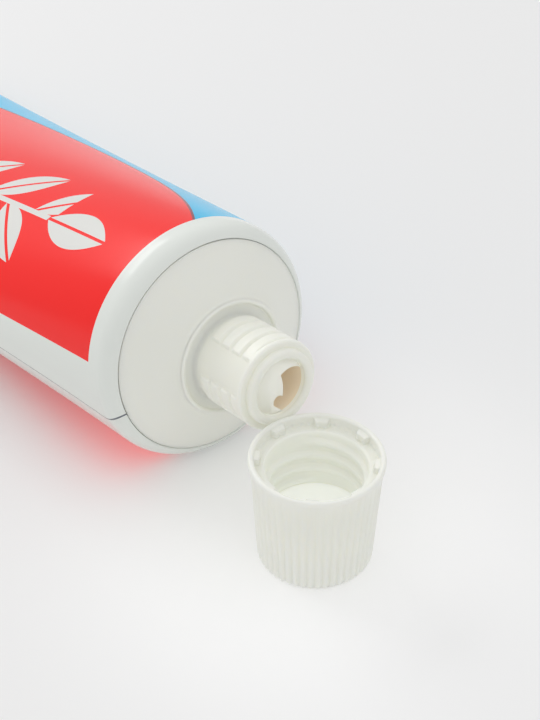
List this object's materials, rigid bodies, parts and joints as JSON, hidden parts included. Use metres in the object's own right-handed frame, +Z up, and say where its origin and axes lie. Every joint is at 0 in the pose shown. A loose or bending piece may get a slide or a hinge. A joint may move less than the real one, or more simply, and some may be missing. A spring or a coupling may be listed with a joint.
{
  "type": "toothpaste tube",
  "caption": "Laminate squeeze tube lying on its side, with a lobed outlet, threaded neck and flat sealed tail, and its fluted screw cap standing in front.",
  "frame": {"origin": "on the surface the tube lies on, midway between the tail and the far side of the cap", "axes": "+X along the tube from the sealed tail to the nozzle, +Z up, +Y to the left of the tube seen from its tail"},
  "size_m": [0.1936, 0.0596, 0.0377],
  "materials": {
    "printed_laminate": "glossy printed laminate, red and blue fields on white",
    "headpiece_plastic": "satin moulded, natural white",
    "cap_plastic": "satin moulded, white",
    "paste": "smooth white paste"
  },
  "bodies": {
    "root": {"sleeve": "printed_laminate", "headpiece": "headpiece_plastic", "cap": "cap_plastic", "toothpaste": "paste"}
  },
  "joints": []
}
